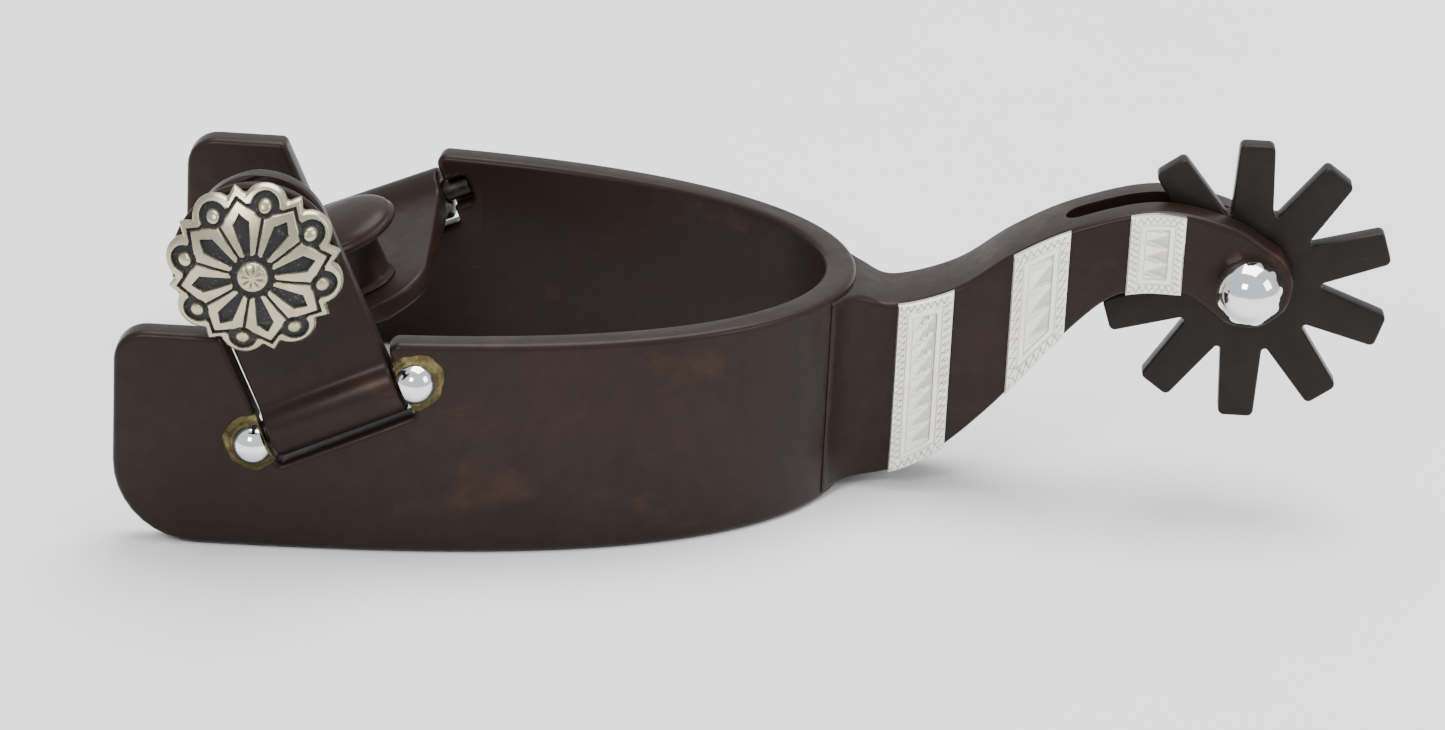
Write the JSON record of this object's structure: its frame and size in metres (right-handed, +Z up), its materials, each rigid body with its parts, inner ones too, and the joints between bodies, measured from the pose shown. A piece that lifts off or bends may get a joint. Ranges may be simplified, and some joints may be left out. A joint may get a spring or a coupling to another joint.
{
  "type": "riding spur",
  "caption": "Western riding spur: flat heel band with swinging strap-button hangers on both arms, a drop shank with silver inlay bars and a free-turning pointed rowel.",
  "frame": {"origin": "on the flat bottom face of the heel band, under the middle of the heel wall, in the symmetry plane of band and shank", "axes": "+X from the open front of the band to the rowel, +Y to the plain inner (horse) side, +Z up from the face it stands on"},
  "size_m": [0.1811, 0.102, 0.0583],
  "materials": {
    "brown_steel": "browned steel under clear lacquer, semi-gloss, rubbed at edges",
    "rowel_steel": "dark browned steel, satin",
    "pin_steel": "plain steel rod, dull",
    "german_silver": "polished nickel silver with bright-cut engraving",
    "concho_silver": "antiqued nickel silver, dark in the recesses",
    "chrome": "mirror bright",
    "brass_braze": "dull brazing brass"
  },
  "bodies": {
    "spur_body": {"heel_band": "brown_steel", "shank": "brown_steel", "silver_bar_root": "german_silver", "silver_bar_middle": "german_silver", "silver_bar_tip": "german_silver", "rowel_pin": "chrome", "rowel_pin_cap": "chrome", "near_hinge_pin": "pin_steel", "near_front_ball": "chrome", "near_front_braze": "brass_braze", "near_rear_ball": "chrome", "near_rear_braze": "brass_braze", "far_hinge_pin": "pin_steel", "far_front_ball": "chrome", "far_front_braze": "brass_braze", "far_rear_ball": "chrome", "far_rear_braze": "brass_braze"},
    "rowel": {"rowel": "rowel_steel"},
    "near_hanger": {"near_hanger_strap": "brown_steel", "near_button_post": "brown_steel", "near_button_disc": "brown_steel", "near_concho": "concho_silver"},
    "far_hanger": {"far_hanger_strap": "brown_steel", "far_button_post": "brown_steel", "far_button_disc": "brown_steel"}
  },
  "joints": [
    {"name": "rowel_spin", "type": "hinge", "parent": "spur_body", "child": "rowel", "pos_m": [0.0593, 0, 0.0336], "axis": [0, 1, 0], "continuous": true},
    {"name": "near_hanger_swing", "type": "hinge", "parent": "spur_body", "child": "near_hanger", "pos_m": [-0.0701, -0.03975, 0.0212], "axis": [-0.9119, -0.0542, -0.4067], "range_deg": [-118, 117]},
    {"name": "far_hanger_swing", "type": "hinge", "parent": "spur_body", "child": "far_hanger", "pos_m": [-0.0701, 0.03975, 0.0212], "axis": [0.9119, -0.0542, 0.4067], "range_deg": [-212, 23]}
  ]
}
